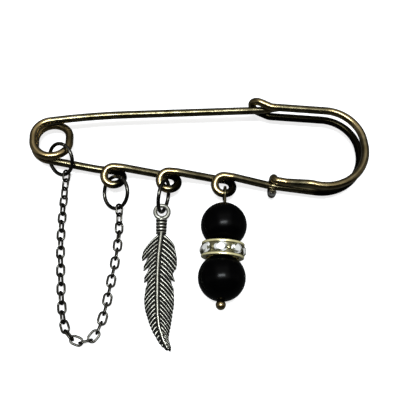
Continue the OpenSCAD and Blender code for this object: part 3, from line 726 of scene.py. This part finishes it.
class BROOCH_OT_frame_wire(bpy.types.Operator):
    """Coil, rail with loops, doubled clasp and wrapped end, one round wire along its path"""
    bl_idname = "brooch.frame_wire"
    bl_label = "Frame Wire"

    def execute(self, context):
        spacing = context.scene.brooch.wire.ring_spacing / MM
        rings, bends, numbers = follow(frame_path(), moved(0.0, -COIL_HALF, FRONT_Z), spacing)
        # Painted shade: stretches behind others and the wrapped end are darkened; the last rings
        # show bare metal at the cut.
        back = np.isin(numbers, SHADED_STRETCHES)
        wear_and_painted_light = smoothed(np.where(back, BEHIND_SHADE, bend_wear(bends)), 5)
        wrap = np.flatnonzero(numbers == numbers.max())
        wear_and_painted_light[wrap[len(wrap) // 3:]] = WRAP_SHADE
        wear_and_painted_light[-4:] = CUT
        radius = end_rounding(rings, WIRE_R, edge=0.12, last_only=True)
        make_piece("frame_wire", [swept(rings, radius, 32, wear_and_painted_light)], bronze(context))
        return {"FINISHED"}


class BROOCH_OT_needle_arm(bpy.types.Operator):
    """Front turn of the coil, shank and ground point, one wire"""
    bl_idname = "brooch.needle_arm"
    bl_label = "Needle Arm"

    def execute(self, context):
        spacing = context.scene.brooch.wire.ring_spacing / MM
        shank = NEEDLE_REACH - (NEEDLE_BEND_R - COIL_R) * along(NEEDLE_LIFT)[1]
        path = (turn(COIL_R, -90) + run(COIL_RUN) + turn(COIL_R, NEEDLE_LIFT - 90)
                + turn(NEEDLE_BEND_R, -NEEDLE_LIFT) + run(shank))
        start = moved(0.0, -COIL_HALF, FRONT_Z) @ turned(180)
        rings, bends, _ = follow(path, start, spacing)
        beyond = np.where(rings[:, 1, 3] > 0, NEEDLE_REACH - rings[:, 0, 3], NEEDLE_REACH)
        radius = np.interp(beyond, *POINT_PROFILE.T)
        wear_and_painted_light = bend_wear(bends) + 0.25 * (beyond < POINT_LENGTH)
        piece = make_piece("needle_arm", [swept(rings, radius, 32, wear_and_painted_light)], bronze(context),
                           sharp=60.0, body=None)
        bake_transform(piece)
        return {"FINISHED"}


class BROOCH_OT_jump_rings(bpy.types.Operator):
    """Three open-wound rings, each a round wire with its two cut ends nearly touching"""
    bl_idname = "brooch.jump_rings"
    bl_label = "Jump Rings"

    def execute(self, context):
        angle = np.linspace(*RING_CUT_ENDS, 181)
        for name, place in RINGS.items():
            rings = place @ turned(angle) @ moved(RING_R) @ turned(90)
            radius = end_rounding(rings, RING_WIRE_R, edge=0.07)
            shell = swept(rings, radius, 20, 0.3)
            make_piece(name, [shell], small_bronze(context))
        return {"FINISHED"}


class BROOCH_OT_chain(bpy.types.Operator):
    """Cable chain: one stadium-shaped link copied along the route, every other one turned"""
    bl_idname = "brooch.chain"
    bl_label = "Chain"

    def execute(self, context):
        end_r, half_run = LINK_WIDTH / 2 - DRAWN_LINK_R, (LINK_LENGTH - LINK_WIDTH) / 2
        side = np.repeat([1.0, -1.0], 11)
        angle = np.tile(np.linspace(-90, 90, 11), 2) + 90 - 90 * side
        link = moved(side * half_run) @ turned(angle) @ moved(end_r) @ turned(90)
        shells = [swept(place @ link, DRAWN_LINK_R, 12, 0.35, closed=True)
                  for place in link_places()]
        make_piece("chain", shells, small_bronze(context), sharp=70.0)
        return {"FINISHED"}


def link_places():
    """Links share the route evenly. Each points from half a step behind to half a step ahead of
    its middle, and is rolled by 90 degrees from the one before, and 45 beside a ring."""
    reach = LINK_LENGTH / 2 - 2 * LINK_WIRE_R - RING_WIRE_R - LINK_GAP
    swag = packed(*SWAG.T, CHAIN_Z)
    ends = []
    for name, beside in (("coil_jump_ring", swag[0]), ("loop_jump_ring", swag[-1])):
        foot = placed(np.array([0.0, -RING_R, 0.0]), RINGS[name])
        ends.append(foot + reach * (beside - foot) / np.linalg.norm(beside - foot))
    route = np.vstack([ends[0], swag, ends[1]])
    lengths = distances(route)
    pitch = LINK_LENGTH - 4 * LINK_WIRE_R - LINK_GAP
    steps = 2 * math.ceil(lengths[-1] / pitch / 2 - 0.5) + 1

    def on_route(number):
        share = np.clip(number, 0, steps) / steps * lengths[-1]
        return packed(*(np.interp(share, lengths, line) for line in route.T))

    number = np.arange(steps + 1)
    ahead, behind = on_route(number + 0.5), on_route(number - 0.5)
    d, at = ahead - behind, (ahead + behind) / 2
    at[[0, -1]] = on_route(number)[[0, -1]]
    beside = np.minimum(number, steps - number)
    roll = 90.0 * ((number + 1) % 2) + LINK_TWIST + 30.0 * np.maximum(0, 1 - beside / 4)
    heading = np.degrees(np.arctan2(d[:, 1], d[:, 0]))
    pitch_angle = -np.degrees(np.arcsin(d[:, 2] / np.linalg.norm(d, axis=1)))
    return moved(*at.T) @ turned(heading) @ turned(pitch_angle, 1) @ rolled(roll)


# Feather tables, in hundredths of its length and width: the quill's line, and one row per pair
# of barbs with the length of the left and of the right one.
QUILL_LINE = np.array([
    (16, -5), (24, -10), (34, -16), (48, -21), (62, -24), (75, -25), (83, -23), (92, -14),
    (97, -6), (100, 0)]) / 100
BARBS = np.array([
    (80, 56), (83, 63), (79, 68), (54, 70), (68, 69), (66, 62), (42, 58), (60, 66), (60, 53),
    (45, 63), (52, 65), (55, 65), (57, 65), (56, 63), (54, 60), (51, 58), (47, 55), (43, 52),
    (39, 49), (35, 45), (31, 41), (27, 37), (23, 36), (20, 36), (17, 31), (13, 22), (8, 11)]) / 100
VANE_START, VANE_END = (EYE_OUTER_R + NECK_LENGTH - 0.5) / FEATHER_LENGTH, 0.99

# Shape of the quill and of a barb, in millimetres and in shares of the barb's length.
ROWS_PER_BARB, QUILL_STEPS, BARB_STEPS = 14, 9, 30
QUILL_HALF, QUILL_HEIGHT, QUILL_THINNING, QUILL_STRIP = 0.42, 0.55, 0.35, 0.25
NOTCH_STEP, NOTCH_DEPTH = 0.085, 0.012
BOW_SHARE, TIP_FALL, UNDER_RIPPLE = 0.16, 0.4, 0.12


def feather_place():
    """The eye hangs on the narrow ring and the tip rests on the table."""
    tilt = math.degrees(math.asin((EYE_Z - VANE / 2) / FEATHER_LENGTH))
    return moved(*(LOOP_2 + FEATHER_HANG), EYE_Z) @ turned(tilt, 0)


def barb_lengths(barb, f):
    """Length of the left and of the right barb along the rows, in millimetres. A barb is full
    at its middle, and its ends run on smoothly into its neighbour but at the notches."""
    padded = np.vstack([BARBS[:1] * 0.8, BARBS, BARBS[-1:] * 0.3])
    above, below = padded[:-1], padded[1:]
    level = np.where(above - below < NOTCH_STEP, (above + below) / 2, np.minimum(above, below))
    groove = (level - NOTCH_DEPTH)[barb + (f >= 0.5)]
    fingers = (1 - np.abs(2 * f - 1) ** 1.6)[:, None]
    return FEATHER_WIDTH * (groove + (BARBS[barb] - groove) * fingers)


def vane_side(sign, slope, length, quill, half_quill, ridge):
    """One side of the vane, with columns from the quill's crest out to the barbs' tips: x, y,
    the height above, the height below and the wear. The quill is half an ellipse, a bare strip
    lies beside it, and the barbs bow a little and sink towards their tips."""
    across_barb, along_barb = np.sin(np.radians(slope)), np.cos(np.radians(slope))
    reach = length * along(BARB_ANGLE)[1] / across_barb
    foot = np.minimum(0.45, half_quill / reach / across_barb)
    t = np.concatenate([foot * np.linspace(0, 1, QUILL_STEPS)[:-1],
                        foot + (1 - foot) * np.linspace(0, 1, BARB_STEPS) ** 1.2], 1)
    d = t * reach
    share = np.clip((t - foot) / (1 - foot), 0, 1)
    bow = BOW_SHARE * reach * share * (1 - share)
    crest = np.sqrt(np.clip(1 - (t / foot) ** 2, 0, 1))
    beside = np.clip((d - foot * reach) / QUILL_STRIP, 0, 1)
    fade = (1 - TIP_FALL * share ** 5) * beside
    swell = VANE / 2 + BARB_HEIGHT * 0.15 * share * (1 - share)
    return np.moveaxis(packed(
        quill[:, :1] + sign * (d * across_barb + 0.6 * bow),
        quill[:, 1:] - d * along_barb + 0.8 * bow,
        swell + np.maximum(BARB_HEIGHT * ridge * fade, QUILL_HEIGHT * crest),
        -VANE / 2 + UNDER_RIPPLE * (1 - ridge),
        np.maximum(ridge ** 1.1 * beside * (0.8 + 0.2 * (1 - share)), 1.3 * crest)), -1, 0)


def quill_at(station):
    """Place of the quill at a share of the feather's length."""
    return packed(FEATHER_WIDTH * np.interp(station, *QUILL_LINE.T), -FEATHER_LENGTH * station)


def vane_shell(place):
    """Rows run out from the quill along the barbs, columns from the left tips over the quill to
    the right tips. With f the share of a barb's width, its height is 1 - |(2 f - 1) / .8| ** 2
    of the barb height. Barbs slope by about 45 degrees at the neck and less at the tip."""
    count = len(BARBS)
    r = np.linspace(0, count, count * ROWS_PER_BARB + 1)
    barb = np.minimum(r.astype(int), count - 1)
    f = r - barb
    station = VANE_START + (VANE_END - VANE_START) * r / count
    half_quill = (QUILL_HALF * (1 - QUILL_THINNING * station))[:, None]
    ridge = np.clip(1 - np.abs((2 * f - 1) / 0.8) ** 2, 0, 1)[:, None]
    lengths, run_out = barb_lengths(barb, f), (r / count)[:, None]
    shared = quill_at(station), half_quill, ridge
    left = vane_side(-1.0, 46.0 - 4.0 * run_out, lengths[:, :1], *shared)
    right = vane_side(1.0, 42.0 - 11.0 * run_out, lengths[:, 1:], *shared)
    x, y, top, under, wear_and_painted_light = np.concatenate([left[..., :0:-1], right], 2)
    loop = np.concatenate([packed(x, y, top), packed(x, y, under)[:, ::-1]], 1)
    wear_and_painted_light = np.concatenate([wear_and_painted_light, wear_and_painted_light[:, ::-1] * 0.8], 1)
    return grid_shell(placed(loop, place)[:, ::-1], wear_and_painted_light[:, ::-1])


def neck_shell(place):
    """Ribbed neck between eye and vane, turned about its own axis: its radius swells with a
    power of the sine along it, and it thins a little towards the vane."""
    top = quill_at(VANE_START)
    bottom = top * (1 + NECK_SINK / np.linalg.norm(top))
    start = bottom * (1 - NECK_LENGTH / np.linalg.norm(bottom))
    heading = math.degrees(math.atan2(bottom[1], bottom[0]))
    height = np.linspace(0, NECK_LENGTH, 120)
    swell = np.abs(np.sin(np.pi * height / (NECK_LENGTH / NECK_RIBS))) ** 0.6
    profile = packed((NECK_R + RIB_SWELL * swell) * (1 - 0.03 * height), height)
    return revolved(profile, 40, place @ moved(*start) @ turned(heading) @ turned(90, 1),
                    0.1 + 0.9 * swell ** 2, closed=False)


class BROOCH_OT_feather(bpy.types.Operator):
    """Feather charm: ring eye, ribbed neck, quill and barbed vane with notches"""
    bl_idname = "brooch.feather"
    bl_label = "Feather"

    def execute(self, context):
        settings = context.scene.brooch.feather
        place = feather_place()
        eye = place @ turned(np.linspace(0, 360, 73)[:-1]) @ moved(EYE_R) @ turned(90)
        shells = [swept(eye, EYE_WIRE_R, 24, 0.85, closed=True), neck_shell(place),
                  vane_shell(place)]
        material = cast_metal("antique_casting", settings.recess, settings.ridge)
        make_piece("feather_charm", shells, material, sharp=75.0)
        return {"FINISHED"}


class BROOCH_OT_head_pin(bpy.types.Operator):
    """Head pin: an eye round the last loop, a neck bend, a straight stem and a ball"""
    bl_idname = "brooch.head_pin"
    bl_label = "Head Pin"

    def execute(self, context):
        bend = math.degrees(math.acos((BEAD_R + PIN_NECK_R - PIN_EYE[2])
                                      / (PIN_NECK_R + PIN_EYE_R)))
        stem_start = (PIN_NECK_R + PIN_EYE_R) * along(bend)[1]
        bore = math.sqrt(BEAD_R ** 2 - BEAD_HOLE_R ** 2)
        ball = (LOWER_BEAD_PLACE + bore + STRING_GAP
                + math.sqrt(BALL_R ** 2 - BEAD_HOLE_R ** 2))
        path = (run(ball - stem_start) + turn(PIN_NECK_R, bend, 90.0)
                + turn(PIN_EYE_R, -PIN_EYE_SWEEP))
        rings = follow(path, down_drop(ball) @ turned(180), 0.12)[0]
        radius = end_rounding(rings, PIN_R, edge=0.06, last_only=True)
        shells = [swept(rings, radius, 20, -0.2),
                  revolved(arc(BALL_R, 85.5, 39), 48, down_drop(ball) @ turned(90, 1), 0.9,
                           closed=False)]
        make_piece("head_pin", shells, bronze(context))
        return {"FINISHED"}


class BROOCH_OT_beads(bpy.types.Operator):
    """Two drilled beads: an arc from one mouth of the bore to the other, turned about the drop"""
    bl_idname = "brooch.beads"
    bl_label = "Beads"

    def execute(self, context):
        settings = context.scene.brooch.drop
        radius = settings.bead_diameter / MM / 2
        material = satin_bead("satin_black", settings.bead)
        mouth = math.degrees(math.asin((BEAD_HOLE_R + MOUTH_FLARE) / radius))
        deep = math.sqrt(radius ** 2 - BEAD_HOLE_R ** 2) - MOUTH_DEPTH
        bore = [(BEAD_HOLE_R, deep), (BEAD_HOLE_R, 0.0), (BEAD_HOLE_R, -deep)]
        profile = np.vstack([arc(radius, 90 - mouth, 121), bore])
        for name, distance in (("upper_bead", DROP_START), ("lower_bead", LOWER_BEAD_PLACE)):
            shell = revolved(profile, 120, down_drop(distance) @ turned(90, 1))
            make_piece(name, [shell], material)
        return {"FINISHED"}


def rondelle_place():
    """The rondelle's axis is z, it leans on the beads, and the first stone stands on x."""
    return (down_drop(RONDELLE_PLACE) @ turned(90 + RONDELLE_LEAN, 1)
            @ turned(180 + RONDELLE_TURN))


class BROOCH_OT_rondelle(bpy.types.Operator):
    """Rondelle: two rounded rims on a floor, turned about the drop, with a post between stones"""
    bl_idname = "brooch.rondelle"
    bl_label = "Rondelle"

    def execute(self, context):
        settings = context.scene.brooch.drop
        place = rondelle_place()
        floor = GIRDLE_PLACE - PAVILION_H - STONE_GAP
        half, inner = RONDELLE_W / 2, RONDELLE_W / 2 - RIM_W
        upper = [(floor, inner), (RONDELLE_R, inner), (RONDELLE_R, half), (SEAT_R, half)]
        corners = [(r, -h) for r, h in reversed(upper)] + upper
        # Painted shade: the floor between the rims gets a value below 0 and is darkened.
        radii, wear_and_painted_light = [0.1, 0.18, 0.12, 0.05], [0.6, 0.6, 0.4, -0.45]
        shells = [revolved(rounded(corners, radii + radii[::-1]), 128, place,
                           np.repeat(wear_and_painted_light + wear_and_painted_light[::-1], CORNER_POINTS))]
        tip = GIRDLE_PLACE - floor + POST_SINK
        post = [(POST_R, 0.0), (POST_R, tip - 0.12), (POST_R - 0.04, tip - 0.04), (0.12, tip),
                (0.03, tip + 0.01)]
        for number in range(STONES):
            at = (place @ turned((number + 0.5) * 360 / STONES) @ moved(floor - POST_SINK)
                  @ turned(90, 1))
            # The posts between the stones are darkened as painted shade.
            shells.append(revolved(post, 20, at, -0.25, closed=False))
        material = antique_metal("pale_gold", shaded(settings.gold, 0.7), settings.gold,
                                 worn=0.6, rough=(0.12, 0.24), grain=0.5, metallic=0.6)
        make_piece("rondelle", shells, material, sharp=35.0)
        return {"FINISHED"}


def facets(*corners):
    """Faces from the numbers of their corners, one array or number per corner."""
    return packed(*corners).tolist()


def stone_mesh(place):
    """Stone cut from rings of points about its axis: table, crown break, girdle, pavilion break
    and culet, with every other ring turned by half a facet."""
    eighth, sixteenth = (2 * np.pi * np.arange(n) / n for n in (8, 16))
    levels = [(TABLE_R, CROWN_H, eighth), (*CROWN_BREAK, eighth + np.pi / 8),
              (STONE_R, 0.0, sixteenth), (STONE_R, -GIRDLE_H, sixteenth),
              (*PAVILION_BREAK, eighth + np.pi / 8)]
    points = np.vstack([packed(r * np.cos(a), r * np.sin(a), h) for r, h, a in levels]
                       + [[(0.0, 0.0, -PAVILION_H)]])
    k, j = np.arange(8), np.arange(16)
    even, odd, over = 2 * k, 2 * k + 1, (2 * k + 2) % 16
    star = facets(k, 8 + k, (k + 1) % 8)
    main = facets(k, 8 + (k - 1) % 8, 16 + even, 8 + k)
    upper = facets(8 + k, 16 + even, 16 + odd) + facets(8 + k, 16 + odd, 16 + over)
    girdle = facets(16 + j, 32 + j, 32 + (j + 1) % 16, 16 + (j + 1) % 16)
    lower = facets(32 + even, 48 + k, 32 + odd) + facets(32 + odd, 48 + k, 32 + over)
    pavilion = facets(32 + even, 48 + (k - 1) % 8, 56, 48 + k)
    return (placed(points, place), [list(range(8))] + star + main + upper,
            girdle + lower + pavilion)


class BROOCH_OT_stones(bpy.types.Operator):
    """Eight cut stones with a mirrored back, set round the rondelle"""
    bl_idname = "brooch.stones"
    bl_label = "Stones"

    def execute(self, context):
        clear = cut_stone("clear_stone", context.scene.brooch.drop.stone)
        foil = stone_foil("stone_foil")
        for number in range(STONES):
            place = (rondelle_place() @ turned(number * 360 / STONES) @ moved(GIRDLE_PLACE)
                     @ turned(90, 1) @ np.diag([1.0, STONE_STRETCH, 1.0, 1.0]) @ turned(22.5))
            points, front, back = stone_mesh(place)
            facet = np.arange(len(front) + len(back))
            name = "stone_%d" % (number + 1)
            # Each facet's value picks its painted reflection, light or dark.
            mesh = new_mesh(name, points, front + back, 0.5 + 0.5 * np.cos(2.4 * facet + number),
                            "FACE", clear, foil)
            mesh.polygons.foreach_set("material_index", [0] * len(front) + [1] * len(back))
            add_piece(name, mesh, "pin_frame")
        return {"FINISHED"}


class BROOCH_OT_stage(bpy.types.Operator):
    """Pale table, light from behind, a small softbox overhead and the camera"""
    bl_idname = "brooch.stage"
    bl_label = "Stage"

    def execute(self, context):
        settings, scene = context.scene.brooch.stage, context.scene
        corners = [(x * TABLE_HALF, y * TABLE_HALF, -TABLE_DROP)
                   for x, y in ((-1, -1), (1, -1), (1, 1), (-1, 1))]
        mesh = bpy.data.meshes.new("table")
        mesh.from_pydata(corners, [], [(0, 1, 2, 3)])
        mesh.materials.append(pale_table("pale_board", settings.table, settings.table_glow))
        table = new_object("table", mesh)
        scene.world = studio_sky(settings.sky)
        add_softbox(settings.key)

        data = bpy.data.cameras.new("camera")
        data.lens, data.sensor_width, data.clip_start = settings.lens, 36.0, 0.005
        camera = scene.camera = new_object("camera", data)
        camera.location = CAMERA_PLACE
        camera.rotation_euler = [math.radians(angle) for angle in CAMERA_TURN]
        scene.view_settings.view_transform = "Standard"
        return {"FINISHED"}


def studio_sky(strength):
    """Sky that only the brooch and the table see: bright bands from near to far, fading to both
    sides. The camera sees plain pale grey."""
    g = Graph(bpy.data.worlds.new("studio"), "OutputWorld", "MixShader")
    direction = g.fill(g.add("SeparateXYZ"), Vector=g.coordinates["Generated"]).outputs
    ramp = g.add("ValToRGB")
    stops = ramp.color_ramp.elements
    for number, (position, *colour) in enumerate(SKY_STOPS):
        stop = stops[number] if number < len(stops) else stops.new(position)
        stop.position, stop.color = position, (*colour, 1.0)
    g.fill(ramp, Fac=g.plus(0.5, direction["Y"], 0.5))
    aside = g.math("ABSOLUTE", direction["X"], 0.0)
    sky = g.fill(g.add("Background"), Color=ramp.outputs["Color"],
                 Strength=g.between(aside, 0.3, 0.65, strength, 0.15 * strength))
    plain = g.fill(g.add("Background"), Color=(0.93, 0.93, 0.93))
    seen = g.add("LightPath").outputs["Is Camera Ray"]
    for socket, value in zip(g.shader.inputs, (seen, sky.outputs[0], plain.outputs[0])):
        g.put(socket, value)
    return g.owner


def add_softbox(power):
    """Rectangular lamp that looks at the brooch's middle."""
    data = bpy.data.lights.new("softbox", "AREA")
    data.shape, data.size, data.size_y = "RECTANGLE", *SOFTBOX_SIZE
    data.energy, data.color = power, SOFTBOX_COLOUR
    lamp = new_object("softbox", data)
    lamp.location = SOFTBOX_PLACE
    down, toward = Vector((0.0, 0.0, -1.0)), -Vector(SOFTBOX_PLACE)
    lamp.rotation_euler = down.rotation_difference(toward).to_euler()


STEPS = (BROOCH_OT_stage, BROOCH_OT_frame_wire, BROOCH_OT_needle_arm, BROOCH_OT_jump_rings,
         BROOCH_OT_chain, BROOCH_OT_feather, BROOCH_OT_head_pin, BROOCH_OT_beads,
         BROOCH_OT_rondelle, BROOCH_OT_stones)


class BROOCH_PT_pieces(bpy.types.Panel):
    """Lists the brooch's pieces and settings"""
    bl_idname = "BROOCH_PT_pieces"
    bl_label = "Safety Pin Brooch"
    bl_space_type = "VIEW_3D"
    bl_region_type = "UI"
    bl_category = "Brooch"

    def draw(self, context):
        for step in STEPS:
            self.layout.operator(step.bl_idname)
        for group in ("wire", "feather", "drop", "stage"):
            box = self.layout.box()
            settings = getattr(context.scene.brooch, group)
            for key in settings.__annotations__:
                box.prop(settings, key)


CLASSES = (WireSettings, FeatherSettings, DropSettings, StageSettings, BroochSettings,
           *STEPS, BROOCH_PT_pieces)


def register():
    for cls in CLASSES:
        bpy.utils.register_class(cls)
    bpy.types.Scene.brooch = PointerProperty(type=BroochSettings)


def unregister():
    del bpy.types.Scene.brooch
    for cls in reversed(CLASSES):
        bpy.utils.unregister_class(cls)


def main():
    register()
    for step in STEPS:
        getattr(bpy.ops.brooch, step.bl_idname.split(".")[1])()
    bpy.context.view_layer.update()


if __name__ == "__main__":
    main()
